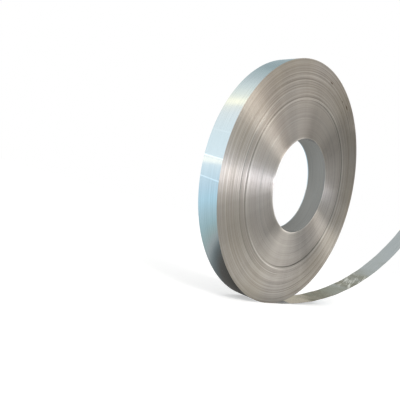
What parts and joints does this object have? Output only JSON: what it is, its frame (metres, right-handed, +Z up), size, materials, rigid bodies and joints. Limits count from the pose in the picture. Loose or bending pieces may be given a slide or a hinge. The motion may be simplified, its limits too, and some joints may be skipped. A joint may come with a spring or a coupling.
{
  "type": "steel coil",
  "caption": "Narrow coil of slit steel strip wound on an open bore, bands of turns showing on both ends and the strip's free end leaving the rim; raw stock for presses and roll formers.",
  "frame": {"origin": "on the bore's axis, half way along the width of the wound strip", "axes": "+Y along the bore axis, away from the end that shows; +X the way the free end leaves the rim; +Z up"},
  "size_m": [2.8434, 0.1211, 1.2996],
  "materials": {
    "strip_steel": "bright rolled faces, slit edges with fine turn lines and a few rust specks"
  },
  "bodies": {
    "root": {"strip_coil": "strip_steel"}
  },
  "joints": []
}
